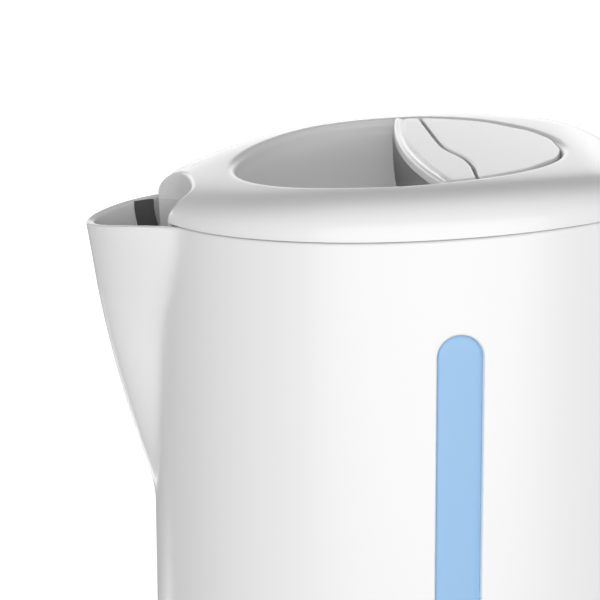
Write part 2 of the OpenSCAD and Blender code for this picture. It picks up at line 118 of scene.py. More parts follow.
# ---------- shared geometry ----------

def soft_max(a, b, k):
    """Greater of two arrays, with the corner between them rounded over a width k."""
    h = np.clip(k - np.abs(a - b), 0, None) / k
    return np.maximum(a, b) + h * h * k / 4


def ease(t):
    """Smooth step from 0 to 1."""
    t = np.clip(t, 0, 1)
    return t * t * (3 - 2 * t)


def quarter_round(distance, radius):
    """How far a rounded edge has dropped at a distance in from it: a quarter circle."""
    d = np.clip(distance, 0, radius)
    return radius - np.sqrt(np.clip(radius**2 - (radius - d) ** 2, 0, None))


def grid(points, wrap_u=False, wrap_v=False, keep=None):
    """A sheet: an array of points (u, v, 3) in millimetres and the quads between them."""
    nu, nv = points.shape[:2]
    i, j = np.meshgrid(np.arange(nu if wrap_u else nu - 1), np.arange(nv if wrap_v else nv - 1),
                       indexing="ij")
    i2, j2 = (i + 1) % nu, (j + 1) % nv
    quads = np.stack([i * nv + j, i2 * nv + j, i2 * nv + j2, i * nv + j2], -1)
    if keep is not None:
        quads = quads[keep]
    return points.reshape(-1, 3), quads.reshape(-1, 4)


def rim_to_world(points, s):
    """Points of the lid's own frame, X along the rim's slope, in the kettle's frame."""
    c, n = math.cos(s.rim_tilt), math.sin(s.rim_tilt)
    x, y, z = points[..., 0], points[..., 1], points[..., 2]
    return np.stack([x * c - z * n, y, s.rim_height + x * n + z * c], -1)


def make_mesh(name, sheets, crease=32.0, merge=2e-6):
    """Joins sheets into one mesh in metres, closes their seams and poles, and points its
    faces outwards. Edges sharper than the crease angle stay sharp."""
    starts = np.cumsum([0] + [len(p) for p, _ in sheets])
    points = np.concatenate([p for p, _ in sheets]) * MM
    quads = np.concatenate([q + n for (_, q), n in zip(sheets, starts)])
    mesh = bpy.data.meshes.new(name)
    mesh.from_pydata(points.tolist(), [], quads.tolist())
    bm = bmesh.new()
    bm.from_mesh(mesh)
    bmesh.ops.remove_doubles(bm, verts=bm.verts, dist=merge)
    bmesh.ops.dissolve_degenerate(bm, edges=bm.edges, dist=merge / 4)
    bmesh.ops.recalc_face_normals(bm, faces=bm.faces)
    bm.to_mesh(mesh)
    bm.free()
    mesh.polygons.foreach_set("use_smooth", np.ones(len(mesh.polygons), bool))
    mesh.set_sharp_from_angle(angle=math.radians(crease))
    mesh.update()
    return mesh


def place(name, sheets, body, slot, replaces=(), crease=32.0):
    """Makes a piece from sheets in its slot's finish, and puts it on its body in place of
    CAD nodes."""
    piece = bpy.data.objects.new(name, make_mesh(name, sheets, crease))
    bpy.context.scene.collection.objects.link(piece)
    piece.data.materials.append(finishes()[slot])
    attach(piece, body)
    if replaces:
        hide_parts(*replaces)
    return piece


def thicken(piece, thickness, crease=32.0):
    """Gives an open skin its wall with an applied Solidify, inwards from its faces."""
    mod = piece.modifiers.new("wall", "SOLIDIFY")
    mod.thickness = thickness * MM
    mod.offset = -1
    dg = bpy.context.evaluated_depsgraph_get()
    mesh = bpy.data.meshes.new_from_object(piece.evaluated_get(dg))
    piece.modifiers.clear()
    piece.data = mesh
    mesh.polygons.foreach_set("use_smooth", np.ones(len(mesh.polygons), bool))
    mesh.set_sharp_from_angle(angle=math.radians(crease))
    return piece


def sweep(path, across, section):
    """Carries a closed section along a path. At each point the section's first number
    goes along `across`, and its second along the path's direction x across. The ends are
    closed by a fan to the section's middle."""
    ahead = np.gradient(path, axis=0)
    ahead /= np.linalg.norm(ahead, axis=1, keepdims=True)
    across = across - ahead * np.sum(across * ahead, 1, keepdims=True)
    across /= np.linalg.norm(across, axis=1, keepdims=True)
    up = np.cross(ahead, across)
    rings = (path[:, None] + across[:, None] * section[None, :, :1]
             + up[:, None] * section[None, :, 1:])
    first = np.repeat(rings[:1].mean(1, keepdims=True), rings.shape[1], 1)
    last = np.repeat(rings[-1:].mean(1, keepdims=True), rings.shape[1], 1)
    return np.concatenate([first, rings, last])


def lathe(profile, centre, axis, turns=64):
    """Turns a closed profile of (radius, height) about an axis through a centre."""
    axis = np.asarray(axis, float)
    one = np.cross(axis, [0.31, 0.83, 0.47])
    one /= np.linalg.norm(one)
    two = np.cross(axis, one)
    a = np.linspace(0, TAU, turns, endpoint=False)
    ring = np.cos(a)[:, None] * one + np.sin(a)[:, None] * two
    profile = np.asarray(profile, float)
    return grid(np.asarray(centre, float) + ring[:, None] * profile[None, :, :1]
                + axis * profile[None, :, 1:], wrap_u=True, wrap_v=True)


def barrel(x, z, y0, y1, radius, bore, s, chamfer=0.5):
    """Hinge knuckle along Y with chamfered rims and a pin bore, in the lid's frame."""
    c = chamfer
    profile = [[bore, 0], [radius - c, 0], [radius - 0.3 * c, 0.3 * c], [radius, c],
               [radius, y1 - y0 - c], [radius - 0.3 * c, y1 - y0 - 0.3 * c],
               [radius - c, y1 - y0], [bore, y1 - y0]]
    points, quads = lathe(profile, (x, y0, z), (0, 1, 0), 72)
    return rim_to_world(points, s), quads


# ---------- finishes ----------

def finish(name, base, roughness, spread=0.03, tint=0.03, grain=900.0, bump=0.02, depth=0.0002,
           stretch=(1, 1, 1), metallic=0.0, coat=0.0, transmission=0.0, subsurface=0.0, ior=1.5):
    """Moulded or metal finish. Fine noise on object coordinates varies its roughness and
    gives it a shallow bump, and broad noise varies its colour a little."""
    m = bpy.data.materials.new(name)
    m.use_nodes = True
    nodes, links = m.node_tree.nodes, m.node_tree.links
    shader = nodes["Principled BSDF"]
    for key, value in (("Metallic", metallic), ("Coat Weight", coat), ("Coat Roughness", 0.04),
                       ("Transmission Weight", transmission), ("IOR", ior),
                       ("Subsurface Weight", subsurface), ("Subsurface Scale", 0.004)):
        shader.inputs[key].default_value = value
    where = nodes.new("ShaderNodeTexCoord")
    turn = nodes.new("ShaderNodeMapping")
    turn.inputs["Scale"].default_value = stretch
    links.new(where.outputs["Object"], turn.inputs["Vector"])
    broad, fine = nodes.new("ShaderNodeTexNoise"), nodes.new("ShaderNodeTexNoise")
    broad.inputs["Scale"].default_value = 22.0
    broad.inputs["Detail"].default_value = 3.0
    fine.inputs["Scale"].default_value = grain
    fine.inputs["Detail"].default_value = 4.0
    ramp = nodes.new("ShaderNodeValToRGB")
    low, high = ramp.color_ramp.elements
    low.position, high.position = 0.3, 0.7
    low.color = (*(c * (1 - tint) for c in base), 1)
    high.color = (*(min(1.0, c * (1 + tint)) for c in base), 1)
    rough = nodes.new("ShaderNodeMapRange")
    rough.inputs["To Min"].default_value = max(0.02, roughness - spread)
    rough.inputs["To Max"].default_value = roughness + spread
    bumps = nodes.new("ShaderNodeBump")
    bumps.inputs["Strength"].default_value = bump
    bumps.inputs["Distance"].default_value = depth
    for noise in (broad, fine):
        links.new(turn.outputs["Vector"], noise.inputs["Vector"])
    links.new(broad.outputs["Fac"], ramp.inputs["Fac"])
    links.new(ramp.outputs["Color"], shader.inputs["Base Color"])
    links.new(fine.outputs["Fac"], rough.inputs["Value"])
    links.new(rough.outputs["Result"], shader.inputs["Roughness"])
    links.new(fine.outputs["Fac"], bumps.inputs["Height"])
    links.new(bumps.outputs["Normal"], shader.inputs["Normal"])
    return m


def finishes():
    """All the kettle's finishes by material slot, made once."""
    if "gloss_white" in bpy.data.materials:
        return {m.name: m for m in bpy.data.materials}
    c = bpy.context.scene.kettle_colours
    finish("gloss_white", c.white, 0.075, spread=0.015, tint=0.006, grain=260.0, bump=0.02,
           coat=0.6)
    finish("inner_white", c.inner, 0.38, spread=0.06, tint=0.02, grain=1400.0, bump=0.12)
    finish("blue_clear", c.window, 0.1, spread=0.02, tint=0.03, grain=300.0, bump=0.02,
           subsurface=0.08)
    finish("dark_plastic", c.dark, 0.45, spread=0.08, tint=0.1, grain=1600.0, bump=0.25)
    finish("steel", (0.62, 0.62, 0.61), 0.3, spread=0.1, tint=0.05, grain=500.0, bump=0.15,
           stretch=(0.04, 1, 1), metallic=1.0)
    finish("zinc", (0.7, 0.7, 0.71), 0.22, spread=0.06, tint=0.05, grain=800.0, bump=0.06,
           metallic=1.0)
    finish("element", (0.3, 0.28, 0.25), 0.5, spread=0.12, tint=0.2, grain=700.0, bump=0.3,
           metallic=0.9)
    finish("brass_parts", (0.72, 0.5, 0.2), 0.26, spread=0.08, tint=0.08, grain=700.0, bump=0.08,
           metallic=1.0)
    finish("seal", c.seal, 0.55, spread=0.08, tint=0.04, grain=1200.0, bump=0.2, subsurface=0.1)
    finish("foot_rubber", (0.03, 0.03, 0.03), 0.7, spread=0.1, tint=0.15, grain=1500.0, bump=0.4)
    finish("amber", (0.95, 0.38, 0.05), 0.08, spread=0.02, tint=0.05, grain=300.0, bump=0.02,
           transmission=0.5)
    return {m.name: m for m in bpy.data.materials}


# ---------- jug ----------

LIP_DEPTH = 6.2                             # the spout's tip below the rim's height
FLARE, FLARE_DEPTH = 0.8, 13.0              # the lip's turn outwards, and how deep it starts
KEEL_BLUNT, MOUTH_BLUNT = 12.0, 13.0        # breadth of the keel, and what the mouth adds
BLUNT_DEPTH = 34.0
CREASE = 1.8                                # fillet between the wall and the spout
LINER_INSET = 2.2                           # how far the spout's inner tip stands back
PIN_X, PIN_Z = 60.0, 3.0                    # the lid's hinge pin, in the lid's frame
KNUCKLE = 3.4


def wall_half(z, s):
    """Half length of the jug's wall at a height: it narrows evenly towards the foot."""
    return s.half_length - (s.rim_height - z) * s.draft / s.rim_height


def wall_radius(angle, z, inset, spout_inset, s):
    """Distance of the wall from the centre line. It is an ellipse, joined with a small
    fillet to the spout's parabola, which is wide at the rim and narrows to a keel below. Its
    reach falls off with depth to the power 1.5 down to the keel's foot, and its lip flares a
    little. The angle is 0 at the spout."""
    a = wall_half(z, s) - inset
    b = s.ratio * a
    ellipse = a * b / np.sqrt((b * np.cos(angle)) ** 2 + (a * np.sin(angle)) ** 2)
    depth = np.clip(s.rim_height - LIP_DEPTH - z, 0, None)
    flare = FLARE * np.clip(1 - depth / FLARE_DEPTH, 0, 1) ** 2
    reach = np.maximum(s.spout_reach * (1 - (depth / s.spout_depth) ** 1.5), -6.0) + flare
    tip = wall_half(z, s) + reach - spout_inset
    blunt = KEEL_BLUNT + MOUTH_BLUNT * (1 - ease(depth / BLUNT_DEPTH)) - 1.8 * spout_inset
    curve = np.sqrt(np.cos(angle) ** 2 + 4 * tip * np.sin(angle) ** 2 / blunt)
    ahead = np.abs(angle) < math.radians(50)
    wedge = np.where(ahead, 2 * tip / np.where(ahead, np.cos(angle) + curve, 1), 0)
    return soft_max(ellipse, wedge, CREASE)


# places of the rows and columns beside an opening's edge, positive outside it
EDGE = np.array([0.7, 0.35, 0.15, 0.0, -0.12, -0.25, -0.45, -0.9, -1.8])
SLOT_HALF, SLOT_LOW, SLOT_HIGH, SLOT_CORNER = 11.5, 32.4, 40.6, 1.5


def rim_level(x, s):
    """Height of the jug's rim over a point: the tilted plane, with the spout's lip lower."""
    drop = np.clip(-x - 73, 0, None) / 19
    return s.rim_height + x * math.tan(s.rim_tilt) - 1.55 * drop**2.2


def jug_columns(s):
    """Angles of the jug's columns: even, with more at the spout, window and switch slot."""
    even = np.arange(0, 180.01, 2.0)
    spout = np.concatenate([np.arange(0, 4, 0.4), np.arange(4, 24, 0.8)])
    half = s.window_width / 2
    along = np.concatenate([half + EDGE[:-1], np.linspace(0, half - 1.8, 8)])
    along = np.concatenate([along, -along])
    window = np.degrees(np.arccos(-along / s.half_length))
    slot = np.concatenate([SLOT_HALF + EDGE, [0, 3, 6]])
    slot = 180 - np.degrees(np.arcsin(slot / s.half_width))
    near = (np.abs(even - 90) > 5.6) & (even > 24.5)
    t = np.radians(np.unique(np.round(np.concatenate([even[near], spout, window, slot]), 4)))
    t = t[(t > 0) & (t < math.pi)]
    return np.concatenate([[0], t, [math.pi], -t[::-1]])


def opening_share(t, z, s):
    """How far the wall has given way to an opening, 0 on the face and 1 right through: it
    follows the distance to a stadium on each long side, and to a rounded box at the rear."""
    along, side = -s.half_length * np.cos(t), s.half_width * np.sin(t)
    half = s.window_width / 2
    middle = (s.window_low + s.window_high) / 2
    run = (s.window_high - s.window_low) / 2 - half
    stadium = np.hypot(along, np.clip(np.abs(z - middle) - run, 0, None)) - half
    x = np.abs(side) - (SLOT_HALF - SLOT_CORNER)
    y = np.abs(z - (SLOT_LOW + SLOT_HIGH) / 2) - ((SLOT_HIGH - SLOT_LOW) / 2 - SLOT_CORNER)
    box = np.hypot(np.clip(x, 0, None), np.clip(y, 0, None))
    box = box + np.minimum(np.maximum(x, y), 0) - SLOT_CORNER
    out = np.where(along > 50, box, np.where(np.abs(along) < 30, stadium, 9.0))
    return np.interp(-out, [-0.35, -0.15, 0.0, 0.12, 0.25], [0, 0.03, 0.12, 0.45, 1.0])


def jug_sheets(s):
    """The jug's shell as one closed grid: up the outside, over the rounded rim, down the
    inside and across the foot. Rows bend round the windows' ends, and where the wall has
    given way right through, the outer and inner faces are left out and meet."""
    t = jug_columns(s)
    angle = np.arctan2(s.ratio * np.sin(t), np.cos(t))
    ends = np.concatenate([s.window_low - EDGE, s.window_high + EDGE])
    slot = np.concatenate([SLOT_LOW - EDGE, SLOT_HIGH + EDGE[:-1]])
    z = np.concatenate([[s.foot_height, s.foot_height + 0.5, 27, 30], slot, [45, 50, 55, 60, 63],
                        ends, np.arange(70.5, 168, 3.0), [174.5, 177.5]])
    z = np.unique(np.round(z, 4))
    z = np.repeat(z[None], len(t), 0)
    top = z[:, -1:]
    x_rim = -wall_radius(angle, s.rim_height - 5, 0, 0, s) * np.cos(angle)
    rim = rim_level(x_rim, s)[:, None]
    rise = np.array([[0.25, 0.5, 0.75]])
    z = np.concatenate([z, top + (rim - 3 - top) * rise], 1)
    # bend the rows near each window end into its arc
    along, half = -s.half_length * np.cos(t)[:, None], s.window_width / 2
    sag = half - np.sqrt(np.clip(half**2 - along**2, 0, None))
    sag = np.where(np.abs(along) > half, half * (1 - ease((np.abs(along) - half) / 9)), sag)
    sag = np.where(np.abs(along) < 30, sag, 0)
    for end, way in ((s.window_high, -1), (s.window_low, 1)):
        z = z + way * sag * (1 - ease((np.abs(z - end) - 1.8) / 15))
    share = opening_share(t[:, None], z, s)
    lip_z = [-3, -1.5, -0.7, -0.28, -0.08, 0, 0, -0.08, -0.28, -0.7, -1.5, -3]
    lip_f = [0, 0, 0, 0.05, 0.16, 0.34, 0.66, 0.84, 0.95, 1, 1, 1]
    full_z = np.concatenate([z, rim + np.array([lip_z]), z[:, ::-1]], 1)
    full_f = np.concatenate([share, np.repeat([lip_f], len(t), 0), np.ones_like(z)], 1)
    outer = wall_radius(angle[:, None], full_z, 0, 0, s)
    inner = wall_radius(angle[:, None], full_z, s.wall, LINER_INSET, s)
    r = outer * (1 - full_f) + inner * full_f
    points = np.stack([-r * np.cos(angle[:, None]), r * np.sin(angle[:, None]), full_z], -1)
    n = z.shape[1]
    open_here = np.zeros(full_f.shape, bool)
    open_here[:, :n] = share > 0.999
    open_here[:, -n:] = open_here[:, :n][:, ::-1]
    after = np.roll(open_here, -1, 0)
    solid = ~(open_here & after & np.roll(open_here, -1, 1) & np.roll(after, -1, 1))
    return [grid(points, wrap_u=True, wrap_v=True, keep=solid)]


WINDOW_INSET = 0.9                          # the window's face behind the jug's face


def window_sheets(side, s):
    """A water window: rings of a stadium, scaled out from its middle line, that wrap over
    the crowned front, the rounded edge and the flat back."""
    half = s.window_width / 2 - 0.25
    low, high = s.window_low + s.window_width / 2, s.window_high - s.window_width / 2
    turn = 25
    a = np.concatenate([np.linspace(0, math.pi, turn), np.linspace(math.pi, TAU, turn)])
    mid = np.where(np.arange(2 * turn) < turn, high, low)
    spread = np.array([0, 0.3, 0.55, 0.72, 0.84, 0.92, 0.97, 1.0, 1.0, 1.0, 0.8, 0.4, 0])
    back = np.array([0, 0.03, 0.09, 0.16, 0.27, 0.42, 0.62, 0.95, 1.5, 2.2, 2.2, 2.2, 2.2])
    x = half * spread * np.cos(a)[:, None]
    z = mid[:, None] + half * spread * np.sin(a)[:, None]
    ends = np.stack([x, z], -1)
    rows = np.linspace(0, 1, 24)[1:-1, None]
    level = np.zeros_like(rows * spread)
    left = np.stack([x[turn - 1] + level, high + (low - high) * rows + level], -1)
    right = np.stack([x[-1] + level, low + (high - low) * rows + level], -1)
    xz = np.concatenate([ends[:turn], left, ends[turn:], right])
    reach = wall_half(xz[..., 1], s) - (WINDOW_INSET + back)
    y = side * s.ratio * np.sqrt(reach**2 - xz[..., 0] ** 2)
    return [grid(np.stack([xz[..., 0], y, xz[..., 1]], -1), wrap_u=True)]


# ---------- lid ----------

# all in the lid's frame, from the jug's centre line at the rim
RECESS_X, RECESS_A, RECESS_B = -7.8, 43.7, 46.2     # the oval recess: middle and half sizes
STEP_X, POCKET_X, POCKET_Z = -3.5, 30.0, -9.0       # the pocket: its two ends and its floor
SCOOP_X, SCOOP_A, SCOOP_B = -75.0, 11.0, 18.6       # the scoop: its chord, depth, half width
REAR_X = 56.0                                       # the lid's straight rear edge
LID_WALL = 1.3
LID_FOOT = 0.3                                      # the skin's lowest level on its outer edge
RING = (22, 34, 40, 14)     # points along half a ring: scoop, bowl, pocket and rear
ACROSS = 61                 # points of a section across the recess
PLATE_SPAN = 46.0           # half span over which the lever and the panel are drawn
PLATE_EDGE, PLATE_GAP = 0.45, 0.4
LEVER_THICK, PANEL_THICK = 2.3, 2.0
SEAM = 0.95                 # gap between the lever and the panel
PANEL_REAR = 35.3


def recess_half(x, gap=0.0):
    """Half width of the lid's oval recess at a place along the lid."""
    share = (x - RECESS_X) / (RECESS_A - gap)
    return (RECESS_B - gap) * np.sqrt(np.clip(1 - share**2, 0, None))


def crown(x, s):
    """Height of the lid's dome on its ridge: it falls away a little to the spout, and more
    to the handle, where it levels out over the hinge."""
    fall = 0.0145 * np.clip(x - 38, 0, None) ** 2
    rear = soft_max(s.dome - 0.0012 * x * x - fall, 3.4 + 0 * x, 2.0)
    front = s.dome - 0.0003 * x * x - 0.065 * soft_max(-x - 29, 0 * x, 8.0)
    return np.where(x < 0, front, rear)


def dome_height(x, y, s):
    """Height of the dome above the rim: its ridge height times a superellipse of the
    distance to the oval edge, nearly flat on top and upright at its foot."""
    rho = np.sqrt((x / s.half_length) ** 2 + (y / s.half_width) ** 2)
    return crown(x, s) * np.clip(1 - rho**13, 0, 1) ** (1 / 2.5)


def scoop_curve(n):
    """Half of the scoop's edge in plan, from its middle to its foot on the lid's edge: a
    superellipse of power 3."""
    y = np.linspace(0, 1, n) ** 0.8
    foot = 0.985 * SCOOP_B
    y = y * foot
    x = SCOOP_X + SCOOP_A * np.clip(1 - (y / SCOOP_B) ** 3, 0, 1) ** (1 / 3)
    return x, y


def lid_rings(s):
    """The recess's edge and the lid's outer edge, point for point, all the way round from
    the spout: the scoop, then the oval, then the straight rear edge, and back mirrored."""
    scoop, bowl, pocket, rear = RING
    steps = [math.acos((x - RECESS_X) / RECESS_A) for x in (STEP_X, POCKET_X)]
    bends = [math.pi, math.radians(148), *steps, 0]
    turn = np.concatenate([np.linspace(a, b, n, endpoint=False)
                           for a, b, n in zip(bends, bends[1:], RING)] + [[0.0]])
    inner = np.stack([RECESS_X + RECESS_A * np.cos(turn), RECESS_B * np.sin(turn)], -1)
    sx, sy = scoop_curve(scoop + 1)
    foot = math.atan2(sy[-1] / s.half_width, sx[-1] / s.half_length)
    end = math.acos(REAR_X / s.half_length)
    way = np.linspace(foot, end, bowl + pocket, endpoint=False)
    ox = np.concatenate([sx[:-1], s.half_length * np.cos(way), np.full(rear + 1, REAR_X)])
    oy = np.concatenate([sy[:-1], s.half_width * np.sin(way),
                         np.linspace(s.half_width * math.sin(end), 0, rear + 1)])
    outer = np.stack([ox, oy], -1)
    return [np.concatenate([half, half[-2:0:-1] * [1, -1]]) for half in (inner, outer)]


def dome_points(s):
    """The dome's skin: points from the recess's rounded lip out to the lid's edge, close
    together at both."""
    inner, outer = lid_rings(s)
    n = len(inner)
    order = np.minimum(np.arange(n), n - np.arange(n))
    run = np.linalg.norm(outer - inner, axis=1)[:, None]
    near_lip = np.array([0, 0.08, 0.25, 0.5, 0.85, 1.3, 1.8, 2.4, 3.4])
    near_edge = np.array([11, 8, 6, 4.6, 3.5, 2.6, 1.9, 1.3, 0.85, 0.5, 0.28, 0.12, 0.03, 0])
    squeeze = np.clip((run - 3.8) / 13, 0.15, 1)
    free = run - near_edge[0] * squeeze - near_lip[-1]
    mid = near_lip[-1] + free * np.linspace(0, 1, 7)[1:-1]
    at = np.concatenate([np.repeat(near_lip[None], n, 0), mid, run - near_edge * squeeze], 1)
    share = (at / run)[..., None]
    plan = inner[:, None] * (1 - share) + outer[:, None] * share
    z = dome_height(plan[..., 0], plan[..., 1], s) - quarter_round(at, s.lip)
    # the scoop's edge and the rear edge are rounded too
    edge = np.where(order < RING[0], 1.1 - 0.7 * (order / RING[0]) ** 2, 0.0)
    edge = np.where(order > n // 2 - RING[3], 0.5, edge)[:, None]
    z = z - np.where(edge > 0, quarter_round(run - at, np.maximum(edge, 0.01)), 0)
    return np.concatenate([plan, np.maximum(z, LID_FOOT)[..., None]], -1)


def scoop_wall(dome):
    """The concave wall behind the spout: its plan follows the scoop's edge, a little
    narrower below the rim."""
    top = np.concatenate([dome[-RING[0]:, -1], dome[:RING[0] + 1, -1]])
    fall = np.array([0, 0.25, 0.5, 0.75, 1.0])
    deep = np.repeat([[-0.1, -0.5, -3, -6, -9.0]], len(top), 0)
    levels = np.concatenate([top[:, 2:] * (1 - fall) + LID_FOOT * fall, deep], 1)
    narrow = 1 - 0.075 * ease((LID_FOOT - levels) / 0.8)
    return np.stack([np.repeat(top[:, :1], levels.shape[1], 1), top[:, 1:2] * narrow, levels],
                    -1)


def bowed(sections, bow=3.2, fade=9.0):
    """Bends the sections near the step towards the spout, like the lever's front edge."""
    span = np.abs(sections[:, :1, 1]) + 1e-6
    bend = -bow * np.clip(1 - (sections[..., 1] / span) ** 2, 0, 1)
    out = sections.copy()
    out[..., 0] += bend * np.exp(-(((sections[..., 0] - STEP_X) / fade) ** 2))
    return out


def trough(x, span, lip_z, floor, fillet=3.0, draft=0.5):
    """Sections with upright sides, a small draft, and fillets down to a flat floor."""
    q = np.linspace(0, 1, ACROSS)
    d = np.minimum(q, 1 - q) * 2
    arc = np.clip((d - 0.3) / 0.2, 0, 1) * math.pi / 2
    side = np.where(d < 0.3, draft * d / 0.3, draft + fillet * (1 - np.cos(arc)))
    z = np.where(d < 0.3, lip_z - (lip_z - floor - fillet) * d / 0.3,
                 floor + fillet * (1 - np.sin(arc)))
    side = np.where(d < 0.5, side, side + (span - side) * np.clip((d - 0.5) / 0.5, 0, 1))
    y = np.where(q < 0.5, -(span - side), span - side)
    return np.stack([np.repeat(x, ACROSS, 1), y, z], -1)


def recess_sheets(dome, s):
    """Sections across the recess, from the near lip to the far lip: the bowl, the pocket
    below the lever and the ledge below the panel, with an upright step at each change."""
    half = len(dome) // 2
    far, near = dome[:half + 1, 0], dome[(-np.arange(half + 1)) % len(dome), 0]
    x, span, lip_z = far[:, :1], far[:, 1:2], far[:, 2:]
    a = np.linspace(0, math.pi, ACROSS)
    across = (near[:, 1:2] + span) / 2 - span * np.cos(a)
    depth = s.bowl_depth * np.sqrt(np.clip(1 - ((x - RECESS_X) / RECESS_A) ** 2, 0, None))
    step, back = RING[0] + RING[1], half - RING[3]
    ahead, below, rear = slice(0, step + 1), slice(step, back + 1), slice(back, half + 1)
    bowl_z = (lip_z - depth * np.sin(a) ** 0.82)[ahead]
    bowl = bowed(np.stack([np.repeat(x[ahead], ACROSS, 1), across[ahead], bowl_z], -1))
    pocket = bowed(trough(x[below], span[below], lip_z[below], POCKET_Z))
    ledge = 1.2 * np.clip(np.sin(a) * 12, 0, 1) * np.clip(span[rear] / 4, 0, 1)
    ledge = np.stack([np.repeat(x[rear], ACROSS, 1), across[rear], lip_z[rear] - ledge], -1)
    return [grid(sheet) for sheet in (bowl, np.stack([bowl[-1], pocket[0]]), pocket,
                                      np.stack([pocket[-1], ledge[0]]), ledge)]


def lid_sheets(s):
    """The lid's upper skin: the dome, the concave wall behind the spout, and the recess."""
    dome = dome_points(s)
    sheets = [grid(dome, wrap_u=True), grid(scoop_wall(dome)), *recess_sheets(dome, s)]
    return [(rim_to_world(p, s), q) for p, q in sheets]


def hinge_arm(side, s):
    """One lid hinge arm: a knuckle, and a tapered strap that joins it to the lid's rear."""
    y = side * 13.5
    knuckle = barrel(PIN_X, PIN_Z, y - 4.5, y + 4.5, KNUCKLE, 1.66, s)
    u = np.linspace(0, 1, 7)
    path = np.stack([54 + 5 * u, 0 * u + y, 1.9 + 0.9 * u], -1)
    a = np.linspace(0, TAU, 33)[:-1]
    shape = np.stack([4.4 * np.sign(np.cos(a)) * np.abs(np.cos(a)) ** 0.25,
                      1.3 * np.sign(np.sin(a)) * np.abs(np.sin(a)) ** 0.25], -1)
    strap = sweep(path, np.repeat([[0.0, 1.0, 0.0]], 7, 0), shape)
    points, quads = grid(strap, wrap_v=True)
    return [knuckle, (rim_to_world(points, s), quads)]


def spout_shade_wedge(side, s):
    """Black wedge of painted shade between the lid's wall and the spout: a thin dark sheet that
    lies along the spout's inner face, stands for the shadow in the gap there, and tapers towards
    the tip."""
    angle = np.radians(np.linspace(14.0, 11.3, 9))[:, None]
    z = s.rim_height - np.linspace(4.3, 14, 20)[None]
    out = wall_radius(angle + 0 * z, z + 0 * angle, s.wall, LINER_INSET, s) - 0.12
    thick = 0.15 + 0.9 * np.linspace(1, 0, 9)[:, None]
    rings = [np.stack([-r * np.cos(angle), side * r * np.sin(angle), z + 0 * r], -1)
             for r in (out, out - thick)]
    loop = np.concatenate([rings[0], rings[1][::-1]])
    ends = loop.mean(0, keepdims=True) + 0 * loop
    return grid(np.concatenate([ends[:, :1], loop, ends[:, -1:]], 1), wrap_u=True)


def slab(front, rear, thickness, groove, s, n=49):
    """A plate that lies in the recess, level with the dome, between two edges given as
    functions of the place across the lid. Each section is a closed loop along the lid: the
    rounded top, the rear edge, the flat underside and the front edge. The ends follow the
    recess's outline. A grooved plate has a bead and a groove behind its front edge."""
    inset = np.array([0, 0.06, 0.16, 0.35, 0.6, 1.0, 1.7, 2.6])
    across = [inset - PLATE_SPAN, np.linspace(-42, 42, n), PLATE_SPAN - inset[::-1]]
    across = (np.concatenate(across) / PLATE_SPAN)[:, None]
    # rows along the lid: in millimetres from each edge, and by shares of the width between
    rows = np.array([*inset, 3.4, 4.0, 5.0])
    t = np.concatenate([rows / 12, np.linspace(0.45, 0.55, 3), 1 - rows[::-1] / 12])
    u = np.where(t < 0.5, t, 1 - t) * 12
    start = front(across * PLATE_SPAN)
    width = rear(across * PLATE_SPAN) - start
    scale = np.minimum(1, width / 12)
    from_front = np.where(t <= 0.5, u * scale, width - u * scale)
    from_front = np.where((t > 0.44) & (t < 0.56), width * t, from_front)
    x = start + from_front
    reach = recess_half(x, PLATE_GAP)
    y = across * reach
    to_edge = np.minimum(from_front, width - from_front)
    to_edge = np.minimum(to_edge, (1 - np.abs(across)) * reach)
    level = dome_height(x, y, s)
    top = level - 0.05
    if groove:
        top = top + 0.32 * np.exp(-(((from_front - 0.9) / 0.55) ** 2))
        top = top - 0.3 * np.exp(-(((from_front - 2.3) / 0.6) ** 2))
    upper = np.stack([x, y, top - quarter_round(to_edge, PLATE_EDGE)], -1)
    lower = np.stack([x, y, level - thickness], -1)
    middle = (upper + lower) / 2
    loop = np.concatenate([upper, lower[:, ::-1]], 1)
    flat = np.concatenate([middle, middle[:, ::-1]], 1)
    points, quads = grid(np.concatenate([flat[:1], loop, flat[-1:]]), wrap_v=True)
    return rim_to_world(points, s), quads


def lever_front(y):
    """Front edge of the pull lever: a shallow bow towards the spout."""
    return -2.6 - 3.9 * (1 - (y / PLATE_SPAN) ** 2)


def lever_rear(y):
    """Rear edge of the pull lever: a wave, further back on the near side."""
    return 5.9 - 2.1 * np.tanh((y + 10) / 9) - 0.9 * ease((-y - 28) / 18)


def panel_front(y):
    """Front edge of the panel: the lever's rear edge, across the seam."""
    return lever_rear(y) + SEAM


def panel_rear(y):
    """Rear edge of the panel, before the recess's outline cuts it."""
    return PANEL_REAR + 0 * y


# ---------- handle, hinge and base ----------

GAP_NEAR, GAP_FAR, GAP_LOW, GAP_HIGH = 70.0, 110.0, 86.0, 186.0    # the finger gap
GAP_CORNER = 10.0
GRIP_HALF, GRIP_DEPTH, GRIP_SEAM = 14.0, 19.0, 9.5  # half width, thickness, place of the seam
SHELL_EDGE = 0.6            # small edge radius of the handle's halves and of the hinge cap
NOTCH = 18.15               # half width of the hinge cap's notch for the lid's arms


